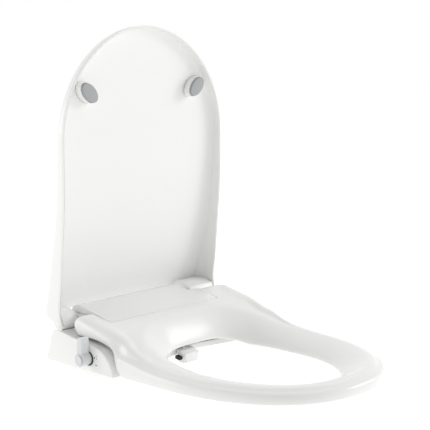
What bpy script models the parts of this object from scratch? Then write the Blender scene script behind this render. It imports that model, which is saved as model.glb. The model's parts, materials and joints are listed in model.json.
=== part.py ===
"""Lever-operated bidet seat with its lid open.

Sizes are in millimetres and become metres in one place, add_object.  X runs across the seat, -Y is
the front and +Z is up.  The origin is midway between the bowl fixings, on the plane that rests on
the bowl's rim.  The seat and the lid turn about one hinge axis that is parallel to X.
"""
import bisect
import math

import bmesh
import bpy
from mathutils import Matrix, Vector

MM = 0.001

# Hinge axis, shared by the seat and the lid
HINGE_Y = 20.0
HINGE_Z = 58.0
PIN_R = 4.0
BUSH_R = 6.2
RUNNING_GAP = 0.3

# Seat plan: outer edge, and the opening as two half super-ellipses
SEAT_HALF_W = 186.0
EAR_HALF_W = 175.0
SEAT_REAR_Y = -7.0
SEAT_CAP_Y = -215.0
SEAT_FRONT_Y = -452.0
SEAT_CAP_POWER = 2.24
OPENING_Y = -251.0
OPENING_HALF_W = 101.0
OPENING_HALF_L = 140.0
OPENING_FRONT_POWER = 2.05
OPENING_REAR_POWER = 3.5
SEAT_WALL = 3.0

# Seat side view: (y, z) of the bottom edge, the ledge's crease and the crown
SEAT_BOTTOM = [(-452, 1.5), (-139, 1.5), (-134, 4), (-126, 9.5), (-116, 20.5), (-109, 28),
               (-91, 37.8), (-57, 43.7), (0, 44.6)]
SEAT_LEDGE = [(-452, 16.4), (-283, 18), (-235, 19.2), (-197, 21), (-145, 27.5), (-112, 33),
              (-91, 41), (-57, 46.5), (0, 47)]
SEAT_CROWN = [(-452, 22), (-420, 23), (-300, 23.5), (-240, 24), (-200, 26), (-175, 29), (-150, 35.5),
              (-125, 45), (-100, 55.5), (-80, 62), (-61, 65.7), (-20, 73.5), (0, 77)]

# Fixed panel between the ears of the seat
PANEL_LEFT = -136.5
PANEL_RIGHT = 107.5
PANEL_FRONT = -60.0
TOWER_RIGHT = 80.5
TOWER_FRONT = -17.0
COVER_WALL = 2.5

# Housing
HOUSING_HALF_W = 192.0
BASE_TOP = 9.0
BASE_REAR = 33.0
BASE_FRONT = -112.0
SIDE_PROFILE = [(35, 0), (30.5, 12), (25.5, 26), (21.5, 38), (14, 46.6), (7, 48), (-41, 45),
                (-75, 42.2), (-92, 38.6), (-105, 31.5), (-116, 21), (-123, 10), (-125, 0)]
SIDE_DROP = 3.8

# Lid, drawn open: (z, y) of the rim and of the back, and the lower edge as (y, z)
LID_HALF_W = 180.0
LID_CAP_Z = 351.0
LID_CAP_H = 179.0
LID_CAP_POWER = 1.95
LID_WALL = 2.6
LID_RIM = [(53, 6), (68, 12.4), (83, 13.5), (115, 9), (148, 6.1), (180, 3.4), (219, -0.2),
           (277, -3.7), (530, -3.7)]
LID_BACK = [(53, 57), (74.8, 56.5), (88.5, 53), (116, 46), (156, 38), (209, 27), (274, 19.3),
            (338, 15.7), (530, 14.5)]
LID_LOWER = [(6, 53.5), (14, 53.4), (30, 57.5), (43.6, 62.7), (50, 65.5), (56, 67), (62, 67)]
LID_BUMPER_X = 121.7
LID_BUMPER_Z = 425.0

# Lever and valve
LEVER_Y = -68.0
LEVER_Z = 21.0

# Nozzle, which slides down and forwards below the gate
NOZZLE_X = -14.0
NOZZLE_Y = -100.0
NOZZLE_Z = -3.0
NOZZLE_TILT = math.radians(50.0)
GATE_Y = -118.4
GATE_Z = 2.6

MATERIALS = {
    "gloss_white": ((0.86, 0.86, 0.85), 0.18, 0.0),
    "satin_white": ((0.80, 0.80, 0.79), 0.35, 0.0),
    "lever_grey": ((0.66, 0.67, 0.68), 0.30, 0.0),
    "inner_grey": ((0.42, 0.43, 0.44), 0.50, 0.0),
    "rubber_grey": ((0.34, 0.35, 0.36), 0.75, 0.0),
    "rubber_white": ((0.74, 0.74, 0.72), 0.65, 0.0),
    "rubber_black": ((0.03, 0.03, 0.03), 0.70, 0.0),
    "steel": ((0.62, 0.62, 0.63), 0.30, 1.0),
    "brass": ((0.72, 0.58, 0.34), 0.35, 1.0),
    "hose": ((0.78, 0.79, 0.80), 0.40, 0.0),
}


def clear_scene():
    """Remove every object of the open scene."""
    for obj in list(bpy.data.objects):
        bpy.data.objects.remove(obj, do_unlink=True)


def material(name):
    """Return the named Principled material, made on first use."""
    if name in bpy.data.materials:
        return bpy.data.materials[name]
    colour, roughness, metallic = MATERIALS[name]
    mat = bpy.data.materials.new(name)
    mat.use_nodes = True
    shader = mat.node_tree.nodes["Principled BSDF"]
    shader.inputs["Base Color"].default_value = (*colour, 1.0)
    shader.inputs["Roughness"].default_value = roughness
    shader.inputs["Metallic"].default_value = metallic
    mat.diffuse_color = (*colour, 1.0)
    return mat


def add_object(name, bm, mat_name, pivot=(0.0, 0.0, 0.0), closed=True):
    """Turn a millimetre bmesh into an object whose origin is at the pivot."""
    if closed:
        bmesh.ops.recalc_face_normals(bm, faces=bm.faces)
    bmesh.ops.translate(bm, verts=bm.verts, vec=-Vector(pivot))
    bmesh.ops.scale(bm, verts=bm.verts, vec=(MM, MM, MM))
    mesh = bpy.data.meshes.new(name)
    bm.to_mesh(mesh)
    bm.free()
    obj = bpy.data.objects.new(name, mesh)
    obj.location = Vector(pivot) * MM
    bpy.context.scene.collection.objects.link(obj)
    mesh.materials.append(material(mat_name))
    mesh.shade_smooth()
    mesh.set_sharp_from_angle(angle=math.radians(35))
    return obj


def boolean(obj, operation, bm):
    """Add a Boolean modifier whose tool is a hidden object made from the bmesh."""
    tool = add_object(f"{obj.name}_{operation.lower()}_{len(obj.modifiers)}", bm, "inner_grey")
    tool.hide_render = True
    tool.display_type = 'WIRE'
    mod = obj.modifiers.new(operation.title(), 'BOOLEAN')
    mod.operation = operation
    mod.object = tool
    mod.solver = 'EXACT'
    return tool


def cut(obj, bm):
    """Cut the bmesh's shape out of the object."""
    boolean(obj, 'DIFFERENCE', bm)


def join(obj, bm):
    """Add the bmesh's shape to the object."""
    boolean(obj, 'UNION', bm)


def read_curve(points, at):
    """Height of the smooth curve through (position, height) points, kept monotone between them."""
    xs = [p[0] for p in points]
    ys = [p[1] for p in points]
    if at <= xs[0]:
        return ys[0]
    if at >= xs[-1]:
        return ys[-1]
    i = bisect.bisect_right(xs, at) - 1
    slopes = [(ys[k + 1] - ys[k]) / (xs[k + 1] - xs[k]) for k in range(len(xs) - 1)]

    def tangent(k):
        if k == 0 or k == len(xs) - 1:
            return slopes[min(k, len(slopes) - 1)]
        before, after = slopes[k - 1], slopes[k]
        return 0.0 if before * after <= 0 else 2.0 * before * after / (before + after)

    step = xs[i + 1] - xs[i]
    t = (at - xs[i]) / step
    return ((2 * t ** 3 - 3 * t ** 2 + 1) * ys[i] + (t ** 3 - 2 * t ** 2 + t) * step * tangent(i)
            + (3 * t ** 2 - 2 * t ** 3) * ys[i + 1] + (t ** 3 - t ** 2) * step * tangent(i + 1))


def box(x0, x1, y0, y1, z0, z1):
    """Rectangular block between two corners."""
    bm = bmesh.new()
    size = Vector((x1 - x0, y1 - y0, z1 - z0))
    centre = Vector((x1 + x0, y1 + y0, z1 + z0)) / 2
    bmesh.ops.create_cube(bm, size=1.0, matrix=Matrix.LocRotScale(centre, None, size))
    return bm


def loft(rings, closed_ends=True):
    """Skin a row of equal rings, each a closed loop of points."""
    bm = bmesh.new()
    rows = [[bm.verts.new(p) for p in ring] for ring in rings]
    count = len(rows[0])
    for low, high in zip(rows, rows[1:]):
        for k in range(count):
            n = (k + 1) % count
            bm.faces.new((low[k], low[n], high[n], high[k]))
    if closed_ends:
        bm.faces.new(list(reversed(rows[0])))
        bm.faces.new(rows[-1])
    return bm


def prism_x(outline, x0, x1):
    """Extrude a (y, z) outline along X."""
    return loft([[(x, y, z) for y, z in outline] for x in (x0, x1)])


def prism_z(outline, z0, z1):
    """Extrude an (x, y) outline along Z."""
    return loft([[(x, y, z) for x, y in outline] for z in (z0, z1)])


def turned(profile, start, axis, segments=24):
    """Turn a closed (distance, radius) profile about a line from start along axis."""
    turn = Vector((0, 0, 1)).rotation_difference(Vector(axis).normalized()).to_matrix().to_4x4()
    place = Matrix.Translation(Vector(start)) @ turn
    bm = bmesh.new()
    solid = profile[0][1] == 0.0
    rows = []
    for k in range(segments):
        angle = 2 * math.pi * k / segments
        points = profile[1:-1] if solid else profile
        rows.append([bm.verts.new(place @ Vector((r * math.cos(angle), r * math.sin(angle), d)))
                     for d, r in points])
    for k in range(segments):
        here, there = rows[k], rows[(k + 1) % segments]
        count = len(here)
        for m in range(count - 1 if solid else count):
            n = (m + 1) % count
            bm.faces.new((here[m], there[m], there[n], here[n]))
    if solid:
        bm.faces.new([row[0] for row in rows])
        bm.faces.new([row[-1] for row in rows])
    return bm


def rod(start, axis, length, radius, segments=24):
    """Plain round rod."""
    return turned([(0, 0.0), (0, radius), (length, radius), (length, 0.0)], start, axis, segments)


def sleeve(start, axis, length, outer, inner, segments=24):
    """Round tube with a through bore."""
    return turned([(0, inner), (0, outer), (length, outer), (length, inner)], start, axis, segments)


def rounded_rectangle(x0, x1, y0, y1, radius, steps=4):
    """Plan outline with quarter-round corners, anticlockwise."""
    points = []
    corners = [(x1 - radius, y0 + radius, -90), (x1 - radius, y1 - radius, 0),
               (x0 + radius, y1 - radius, 90), (x0 + radius, y0 + radius, 180)]
    for cx, cy, first in corners:
        for k in range(steps + 1):
            angle = math.radians(first + 90 * k / steps)
            points.append((cx + radius * math.cos(angle), cy + radius * math.sin(angle)))
    return points


# ---------------------------------------------------------------- seat

def seat_half_width(y):
    """Half-width of the seat's outer edge on its straight sides."""
    return read_curve([(-452, SEAT_HALF_W), (-128, SEAT_HALF_W), (-100, EAR_HALF_W),
                       (0, EAR_HALF_W)], y)


def seat_outer_points():
    """Plan points round the seat's outer edge, from the front centre anticlockwise."""
    half = []
    steps = 14
    for k in range(steps):
        angle = math.pi / 2 * k / steps
        power = 2 / SEAT_CAP_POWER
        half.append((SEAT_HALF_W * math.sin(angle) ** power,
                     SEAT_CAP_Y + (SEAT_FRONT_Y - SEAT_CAP_Y) * math.cos(angle) ** power))
    for y in (-215, -190, -168, -150, -138, -130, -121, -112, -102, -88, -68, -48, -30, -20):
        half.append((seat_half_width(y), y))
    for degrees in (30, 60, 90):
        angle = math.radians(degrees)
        half.append((EAR_HALF_W - 13 + 13 * math.cos(angle), SEAT_REAR_Y - 13 + 13 * math.sin(angle)))
    half += [(x, SEAT_REAR_Y) for x in (146, 128, 104, 70, 35)]
    mirrored = [(-x, y) for x, y in reversed(half[1:])]
    return half + [(0.0, SEAT_REAR_Y)] + mirrored


def opening_point(x, y, grow=0.0):
    """Point of the opening's edge that faces a point of the outer edge, and how far back it is."""
    across = x / SEAT_HALF_W
    rear = y > OPENING_Y
    along = (y - OPENING_Y) / (SEAT_REAR_Y - OPENING_Y if rear else OPENING_Y - SEAT_FRONT_Y)
    power = OPENING_REAR_POWER if rear else OPENING_FRONT_POWER
    scale = (abs(across) ** power + abs(along) ** power) ** (-1 / power)
    return Vector(((OPENING_HALF_W + grow) * scale * across,
                   OPENING_Y + (OPENING_HALF_L + grow) * scale * along)), max(0.0, scale * along)


def lip_height(y):
    """Height of the opening's edge, which rises over the nozzle at the rear."""
    return 1.5 + 12.5 * min(1.0, max(0.0, (y + 150) / 38))


def outer_group(y, rear):
    """Inset and height of the section's outer points, bottom to shoulder, blended to the rear."""
    bottom = read_curve(SEAT_BOTTOM, y)
    ledge = read_curve(SEAT_LEDGE, y)
    crown = read_curve(SEAT_CROWN, y)
    ring = [(0.0, bottom), (1.5, (bottom + ledge) / 2), (3.0, ledge), (11.5, ledge + 1.0),
            (14.5, ledge + 1.0 + 0.5 * (crown - ledge - 1.0)), (18.0, crown - 0.1 * (crown - ledge)),
            (25.0, crown)]
    middle = (bottom + crown) / 2
    ear = [(5.0, bottom), (1.0, bottom + 5), (0.0, middle), (1.0, crown - 9), (5.0, crown - 4),
           (11.0, crown - 1.2), (25.0, crown)]
    back = [(13.0, 45.0), (4.0, 50.0), (0.0, 60.0), (2.0, 67.0), (6.5, 71.5), (13.0, 73.8),
            (25.0, read_curve(SEAT_CROWN, -32))]
    to_ear = min(1.0, max(0.0, (y + 124) / 22)) ** 2.3
    side = [(a + (c - a) * to_ear, b + (d - b) * to_ear) for (a, b), (c, d) in zip(ring, ear)]
    return [(a + (c - a) * rear, b + (d - b) * rear) for (a, b), (c, d) in zip(side, back)]


def seat_section(x, y):
    """Points of one section of the seat's top skin, from its bottom outer edge to the opening."""
    outer = Vector((x, y))
    inner, backness = opening_point(x, y)
    way = inner - outer
    width = way.length
    way.normalize()
    rear = min(1.0, max(0.0, (y - SEAT_REAR_Y + 13) / 13))
    points = [(outer + way * inset, z) for inset, z in outer_group(y, rear)]
    dome = 60.0 - 24.0 * backness ** 2
    crown_at = max(26.0, width - dome)
    for part in (0.33, 0.67, 1.0):
        spot = outer + way * (25.0 + (crown_at - 25.0) * part)
        if crown_at > 30.0 or part == 1.0:
            points.append((spot, read_curve(SEAT_CROWN, spot.y)))
        else:
            points.append((outer + way * (25.0 + 1.0 * part), read_curve(SEAT_CROWN, y)))
    lip = lip_height(inner.y)
    for t in (0.72, 0.48, 0.28, 0.13, 0.045, 0.0):
        spot = inner - way * (width - crown_at) * t
        rise = (1 - (1 - t) ** 1.35) ** 0.6
        points.append((spot, lip + (read_curve(SEAT_CROWN, spot.y) - lip) * rise))
    return [(spot.x, spot.y, z) for spot, z in points]


def make_seat(pivot):
    """Seat skin with its hinge knuckles, the panel under it, and its four bumpers."""
    sections = [seat_section(x, y) for x, y in seat_outer_points()]
    bm = loft(list(zip(*sections)), closed_ends=False)
    seat = add_object("seat_shell", bm, "gloss_white", pivot, closed=False)
    wall = seat.modifiers.new("Wall", 'SOLIDIFY')
    wall.thickness = SEAT_WALL * MM
    wall.offset = -1.0
    wall.use_even_offset = True
    cut(seat, box(PANEL_LEFT - 1.1, PANEL_RIGHT + 2.0, PANEL_FRONT - 1.7, 10, 25, 95))
    join(seat, prism_x(knuckle_outline(-18.0), PANEL_LEFT - 7.0, PANEL_LEFT - 2.2))
    join(seat, prism_x(knuckle_outline(-14.0), TOWER_RIGHT + 1.5, PANEL_RIGHT + 4.0))
    hole = BUSH_R + RUNNING_GAP
    cut(seat, rod((PANEL_LEFT - 9, HINGE_Y, HINGE_Z), (1, 0, 0), 9, hole))
    cut(seat, rod((TOWER_RIGHT, HINGE_Y, HINGE_Z), (1, 0, 0), 35, hole))

    outer = seat_outer_points()
    rows = []
    for x, y in outer:
        if y < -146:
            inner, _ = opening_point(x, y)
            way = (inner - Vector((x, y)))
            reach = way.length
            way.normalize()
            start = Vector((x, y)) + way * 6.5
            end = Vector((x, y)) + way * (reach - 15.0)
            rows.append((start, end))
    rows = rows[len(rows) // 2 + 1:] + rows[:len(rows) // 2 + 1]
    rings = [[(a.x, a.y, 4.6), (b.x, b.y, 4.6), (b.x, b.y, 6.6), (a.x, a.y, 6.6)] for a, b in rows]
    add_object("seat_underside", loft(rings), "satin_white", pivot)

    for side, sign in (("left", -1), ("right", 1)):
        for end, x, y, turn in (("front", 88, -402, 52), ("rear", 150, -205, 92)):
            outline = [(sign * (x + 16 * math.cos(math.radians(a)) * math.cos(math.radians(turn))
                                - 8 * math.sin(math.radians(a)) * math.sin(math.radians(turn))),
                        y + 16 * math.cos(math.radians(a)) * math.sin(math.radians(turn))
                        + 8 * math.sin(math.radians(a)) * math.cos(math.radians(turn)))
                       for a in range(0, 360, 20)]
            add_object(f"seat_bumper_{end}_{side}", prism_z(outline, 0.0, 4.3), "rubber_white", pivot)
    for name, x0, length in (("left_seat_bush", PANEL_LEFT - 7.0, 4.8),
                             ("right_seat_bush", TOWER_RIGHT + 1.5, 29.0)):
        add_object(name, sleeve((x0, HINGE_Y, HINGE_Z), (1, 0, 0), length, BUSH_R,
                                PIN_R + RUNNING_GAP), "inner_grey", pivot)


def knuckle_outline(front_y):
    """(y, z) outline of an arm from the ear's rounded end to a boss round the hinge axis."""
    radius = 11.0
    points = [(HINGE_Y + radius * math.cos(math.radians(a)), HINGE_Z + radius * math.sin(math.radians(a)))
              for a in range(-100, 101, 20)]
    return points + [(front_y, 68.0), (front_y, 52.0)]


# ---------------------------------------------------------------- lid

def lid_ring(inset, depth, crown, count):
    """One U-shaped line of the lid's outer skin, from lower left over the top to lower right."""
    half_w = LID_HALF_W - inset
    cap_h = LID_CAP_H - inset
    points = []
    straight = [0, 0.035, 0.08, 0.15, 0.24, 0.36, 0.5, 0.66, 0.83, 1.0]

    def y_at(z):
        rim = read_curve(LID_RIM, z)
        return rim + (read_curve(LID_BACK, z) - rim) * depth + crown

    foot = 60.0
    for _ in range(6):
        foot = read_curve(LID_LOWER, y_at(foot))
    for part in straight:
        z = foot + (LID_CAP_Z - foot) * part
        points.append((half_w, y_at(z), z))
    for k in range(1, count + 1):
        angle = math.pi / 2 * k / count
        power = 2 / LID_CAP_POWER
        z = LID_CAP_Z + cap_h * math.sin(angle) ** power
        points.append((half_w * max(0.0, math.cos(angle)) ** power, y_at(z), z))
    points[-1] = (0.0, points[-1][1], points[-1][2])
    left = [(-x, y, z) for x, y, z in points[:-1]]
    return left + list(reversed(points))


def lug_outline():
    """(y, z) outline of a lid lug: round below the hinge axis, then up into the lid's corner."""
    radius = 12.3
    points = [(HINGE_Y + radius * math.cos(math.radians(a)), HINGE_Z + radius * math.sin(math.radians(a)))
              for a in range(180, 331, 15)]
    return points + [(38, 59), (50, 65), (53.5, 71), (50, 77), (40, 78.5), (28, 76), (14, 71)]


def bumper_oval(sign, long, short, y0, y1, steps=32):
    """Oval block along Y at a bumper's place, its long axis leaning with the lid's edge."""
    lean = -sign * math.radians(45)
    ring = []
    for k in range(steps):
        angle = 2 * math.pi * k / steps
        across, along = short * math.cos(angle), long * math.sin(angle)
        ring.append((sign * LID_BUMPER_X + across * math.cos(lean) + along * math.sin(lean),
                     LID_BUMPER_Z - across * math.sin(lean) + along * math.cos(lean)))
    return loft([[(x, y, z) for x, z in ring] for y in (y0, y1)])


def make_lid(pivot):
    """Lid skin with its lugs, bumper posts and pads, and lug bushes."""
    rings = [lid_ring(*args, count=12) for args in (
        (0.0, 0.0, 0.0), (0.3, 0.3, 0.0), (0.8, 0.66, 0.0), (2.0, 0.87, 0.0), (5.0, 0.97, 0.0),
        (11.0, 1.0, 0.6), (40.0, 1.0, 2.0), (85.0, 1.0, 3.0), (130.0, 1.0, 3.4))]
    bm = bmesh.new()
    rows = [[bm.verts.new(p) for p in ring] for ring in rings]
    for low, high in zip(rows, rows[1:]):
        for k in range(len(low) - 1):
            bm.faces.new((low[k], low[k + 1], high[k + 1], high[k]))
    last = rows[-1]
    count = len(last)
    for k in range(count // 2 - 1):
        bm.faces.new((last[k], last[k + 1], last[count - 2 - k], last[count - 1 - k]))
    middle = count // 2
    bm.faces.new((last[middle - 1], last[middle], last[middle + 1]))
    lid = add_object("lid_shell", bm, "gloss_white", pivot, closed=False)
    wall = lid.modifiers.new("Wall", 'SOLIDIFY')
    wall.thickness = LID_WALL * MM
    wall.offset = -1.0
    wall.use_even_offset = True
    join(lid, prism_x(lug_outline(), -176.0, PANEL_LEFT - 7.8))
    join(lid, prism_x(lug_outline(), PANEL_RIGHT + 9.0, 176.0))
    hole = BUSH_R + RUNNING_GAP
    cut(lid, rod((-172, HINGE_Y, HINGE_Z), (1, 0, 0), 40, hole))
    cut(lid, rod((PANEL_RIGHT, HINGE_Y, HINGE_Z), (1, 0, 0), 64, hole))
    for side, sign in (("left", -1), ("right", 1)):
        back = read_curve(LID_BACK, LID_BUMPER_Z) - LID_WALL
        post = add_object(f"lid_post_{side}", bumper_oval(sign, 20.6, 13.1, 0.3, back), "gloss_white", pivot)
        cut(post, bumper_oval(sign, 19.4, 11.9, -5.0, 4.0))
        add_object(f"lid_pad_{side}", bumper_oval(sign, 19.0, 11.5, -4.0, 3.6), "rubber_grey", pivot)
    for name, x0, length in (("left_lid_bush", -171.5, 27.0), ("right_lid_bush", PANEL_RIGHT + 9.0, 54.0)):
        add_object(name, sleeve((x0, HINGE_Y, HINGE_Z), (1, 0, 0), length, BUSH_R,
                                PIN_R + RUNNING_GAP), "inner_grey", pivot)


# ---------------------------------------------------------------- housing

def cover_outline(shrink):
    """(y, z) outline of the fixed cover, or of its inside when shrunk."""
    s = shrink
    points = [(PANEL_FRONT + s, BASE_TOP + 0.3), (PANEL_FRONT + s, 65.4 - s),
              (PANEL_FRONT + 1 + s, 66.4 - s), (-20, 74.4 - s), (0, 78.4 - s), (8, 80 - s), (16, 80.8 - s),
              (25, 80.4 - s), (32 - s / 2, 76.5 - s), (37 - s, 66 - s / 2), (37 - s, 45), (35 - s, 22),
              (33.5 - s, BASE_TOP + 0.3)]
    if s:
        points[0] = (points[0][0], -5.0)
        points[-1] = (points[-1][0], -5.0)
    return points


def front_outline(shrink):
    """(y, z) outline of the cover's low right-hand part, in front of the hinge knuckle."""
    s = shrink
    top = read_curve([(-60, 66.4), (-17, 75.0)], TOWER_FRONT)
    foot = -5.0 if s else BASE_TOP + 0.3
    return [(PANEL_FRONT + s, foot), (PANEL_FRONT + s, 65.4 - s), (PANEL_FRONT + 1 + s, 66.4 - s),
            (TOWER_FRONT - s, top - s), (TOWER_FRONT - s, foot)]


def make_cover():
    """Fixed cover between the ears, with the panel on top and the hinge towers inside."""
    cover = add_object("top_cover", prism_x(cover_outline(0), PANEL_LEFT, TOWER_RIGHT), "gloss_white")
    join(cover, prism_x(front_outline(0), TOWER_RIGHT - 10, PANEL_RIGHT))
    wall = COVER_WALL
    cut(cover, prism_x(cover_outline(wall), PANEL_LEFT + wall, TOWER_RIGHT - wall))
    cut(cover, prism_x(front_outline(wall), TOWER_RIGHT - 10, PANEL_RIGHT - wall))
    cut(cover, rod((PANEL_LEFT - 5, HINGE_Y, HINGE_Z), (1, 0, 0), 15, PIN_R + RUNNING_GAP))
    cut(cover, rod((TOWER_RIGHT - 8, HINGE_Y, HINGE_Z), (1, 0, 0), 15, PIN_R + RUNNING_GAP))
    cut(cover, box(PANEL_LEFT - 5, PANEL_LEFT + 8, -52, 8, 0, 34))


def side_ring(x, drop, inset):
    """The housing's side outline at x, with its top lowered by drop and all of it inset."""
    ring = []
    centre_y = -45.0
    for y, z in SIDE_PROFILE:
        height = z - drop * min(1.0, z / 30.0)
        pull = -inset if y > centre_y else inset
        ring.append((x, y + pull, height - inset if z > 0 else 0.0))
    return ring


def make_side_cover(name, sign, inner_x):
    """Cap that closes one end of the housing; open below and towards the middle."""
    edge = HOUSING_HALF_W
    rings = [side_ring(sign * edge, 0.6, 1.6), side_ring(sign * (edge - 0.5), 0.2, 0.6),
             side_ring(sign * (edge - 1.8), 0.0, 0.0), side_ring(sign * (edge - 6), 2.0, 0.0),
             side_ring(sign * (edge - 11), SIDE_DROP, 0.0), side_ring(sign * inner_x, SIDE_DROP, 0.0)]
    cap = add_object(name, loft(rings), "gloss_white")
    wall = COVER_WALL
    inner = [side_ring(sign * (edge - 3.5), 3.0, wall), side_ring(sign * (edge - 12), SIDE_DROP, wall),
             side_ring(sign * (inner_x - 8), SIDE_DROP, wall)]
    inner = [[(x, y, -8.0 if z == 0.0 else z) for x, y, z in ring] for ring in inner]
    cut(cap, loft(inner))
    return cap


def make_housing():
    """Base tray, covers, mounting plate and its discs."""
    front = [(101, BASE_FRONT), (75, -109), (51, -104), (24, -99), (0, -98), (-24, -99), (-51, -104),
             (-75, -109), (-101, BASE_FRONT)]
    plan = [(PANEL_LEFT - 0.3, BASE_REAR), (PANEL_LEFT - 0.3, BASE_FRONT)] + list(reversed(front))
    plan += [(PANEL_RIGHT + 0.5, BASE_FRONT), (PANEL_RIGHT + 0.5, BASE_REAR)]
    base = add_object("housing_base", prism_z(plan, 0.0, BASE_TOP), "gloss_white")
    inner = [(x - math.copysign(2.5, x) if abs(x) > 100 else x, y + 2.5 if y < -90 else y - 2.5)
             for x, y in plan]
    cut(base, prism_z(inner, 5.5, 20.0))
    cut(base, prism_z(rounded_rectangle(-97, 97, -43, 25, 8), -5.0, 2.9))
    cut(base, box(NOZZLE_X - 11, NOZZLE_X + 11, -120, -58, -5, 20))

    make_cover()
    left = make_side_cover("left_side_cover", -1, -PANEL_LEFT + 0.8)
    cut(left, rod((-HOUSING_HALF_W - 4, LEVER_Y, LEVER_Z), (1, 0, 0), 10, 5.4))
    right = make_side_cover("right_side_cover", 1, PANEL_RIGHT + 1.0)
    cut(right, box(HOUSING_HALF_W - 8, HOUSING_HALF_W + 4, -28.4, -5.6, 11.6, 22.4))

    plate = add_object("mounting_plate", prism_z(rounded_rectangle(-96, 96, -42, 24, 7), 0.0, 2.6),
                       "inner_grey")
    for side, sign in (("left", -1), ("right", 1)):
        spot = (sign * 77.5, -8.0, -2.0)
        cut(plate, rod(spot, (0, 0, 1), 8.0, 15.0, 32))
        disc = turned([(0, 4.2), (0, 14.7), (2.6, 14.7), (2.6, 4.2)], (spot[0], spot[1], 0.0), (0, 0, 1), 32)
        add_object(f"{side}_adjuster_disc", disc, "rubber_grey")
    for k, (x, y) in enumerate(((-115, 12), (101.5, 12), (-115, -90), (90, -90))):
        screw = [(0, 0.0), (0, 3.4), (1.6, 3.4), (1.6, 1.5), (10.0, 1.5), (10.0, 0.0)]
        cut(base, rod((x, y, -4), (0, 0, 1), 6.2, 3.8, 16))
        cut(base, rod((x, y, -4), (0, 0, 1), 20, 1.8, 16))
        add_object(f"base_screw_{k + 1}", turned(screw, (x, y, 0.4), (0, 0, 1), 16), "steel")


def make_hinge_hardware():
    """Hinge pins fixed in the towers, and the soft-close dampers round them."""
    for side, x0, x1, d0, d1 in (("left", -168.0, -84.0, -133.0, -86.0),
                                 ("right", 24.0, 166.0, 26.0, 77.0)):
        add_object(f"{side}_hinge_pin", rod((x0, HINGE_Y, HINGE_Z), (1, 0, 0), x1 - x0, PIN_R), "steel")
        name = "seat_damper" if side == "left" else "lid_damper"
        add_object(name, sleeve((d0, HINGE_Y, HINGE_Z), (1, 0, 0), d1 - d0, 10.5, PIN_R + RUNNING_GAP),
                   "inner_grey")


def make_lever(pivot):
    """Lever with its hub and cap, the valve spindle it turns, and the valve body."""
    arm = [(LEVER_Y - 4.8, LEVER_Z - 2), (LEVER_Y + 6.4, LEVER_Z - 2), (LEVER_Y + 5.8, 54.0),
           (LEVER_Y + 4.8, 55.0), (LEVER_Y - 3.8, 55.0), (LEVER_Y - 4.8, 54.0)]
    hub = [(0, 0.0), (0, 9.4), (1.2, 10.4), (16.4, 10.4), (16.4, 0.0)]
    lever = add_object("lever", turned(hub, (-210, LEVER_Y, LEVER_Z), (1, 0, 0), 28), "lever_grey", pivot)
    join(lever, prism_x(arm, -210.0, -194.6))
    cap = [(0, 0.0), (0, 6.6), (0.8, 7.4), (2.7, 7.4), (2.7, 0.0)]
    add_object("lever_cap", turned(cap, (-213, LEVER_Y, LEVER_Z), (1, 0, 0), 28), "lever_grey", pivot)
    add_object("valve_spindle", rod((-193.2, LEVER_Y, LEVER_Z), (1, 0, 0), 21.0, 4.6), "brass", pivot)
    valve = [(0, 0.0), (0, 12.5), (26.0, 12.5), (26.0, 8.0), (32.0, 8.0), (32.0, 0.0)]
    block = add_object("valve_body", turned(valve, (-185, LEVER_Y, LEVER_Z), (1, 0, 0)), "brass")
    cut(block, rod((-190, LEVER_Y, LEVER_Z), (1, 0, 0), 18.5, 5.0))


def nozzle_point(distance):
    """Point on the nozzle's line, so far back from its resting tip."""
    return (NOZZLE_X, NOZZLE_Y + distance * math.cos(NOZZLE_TILT),
            NOZZLE_Z + distance * math.sin(NOZZLE_TILT))


def make_nozzle():
    """Nozzle tube and tip in their guide sleeve."""
    back = (0, math.cos(NOZZLE_TILT), math.sin(NOZZLE_TILT))
    tip = [(0, 0.0), (0, 3.0), (1.2, 4.6), (9.0, 4.6), (9.0, 0.0)]
    add_object("nozzle_tip", turned(tip, nozzle_point(0), back), "satin_white", nozzle_point(0))
    add_object("nozzle_tube", rod(nozzle_point(9.3), back, 46.0, 4.2), "steel", nozzle_point(0))
    add_object("nozzle_carrier", sleeve(nozzle_point(14), back, 24.0, 7.8, 4.6), "inner_grey")


def make_guard():
    """Spray guard round the nozzle's mouth, its gate and pin, and the rubber block beside it."""
    x0, x1 = NOZZLE_X - 15.5, NOZZLE_X + 15.5
    hood = [(-100.6, 9.0), (-100.6, -8.0), (-108.0, -12.0), (-116.0, -12.0), (-116.0, 4.2), (-113.0, 6.4)]
    guard = add_object("spray_guard", prism_x(hood, x0, x1), "gloss_white")
    cut(guard, box(x0 + 2.5, x1 - 2.5, -130, -90, -30, 2.0))
    cut(guard, box(NOZZLE_X - 8, NOZZLE_X + 8, -106, -90, -30, 20))
    ear = [(-114.0, 4.0), (-120.2, 4.4), (-120.2, 0.6), (-114.0, -4.0)]
    join(guard, prism_x(ear, x0, x0 + 1.2))
    join(guard, prism_x(ear, x1 - 1.2, x1))
    cut(guard, rod((x0 - 1, GATE_Y, GATE_Z), (1, 0, 0), x1 - x0 + 2, 1.05, 12))
    gate = prism_x([(-119.8, 1.4), (-117.5, 1.4), (-117.5, -11.6), (-119.8, -11.6)], x0 + 1.5, x1 - 1.5)
    flap = add_object("spray_gate", gate, "satin_white", (NOZZLE_X, GATE_Y, GATE_Z))
    join(flap, rod((x0 + 1.5, GATE_Y, GATE_Z), (1, 0, 0), x1 - x0 - 3.0, 1.9, 16))
    cut(flap, rod((x0 - 1, GATE_Y, GATE_Z), (1, 0, 0), x1 - x0 + 2.0, 1.0, 12))
    add_object("gate_pin", rod((x0, GATE_Y, GATE_Z), (1, 0, 0), x1 - x0, 0.7, 12), "steel")
    block = [(-114.0, 0.5), (-103.0, 1.5), (-103.0, -4.0), (-112.0, -5.5), (-114.0, -4.0)]
    add_object("guard_block", prism_x(block, x0 - 11.5, x0 - 0.6), "rubber_black")


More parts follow.
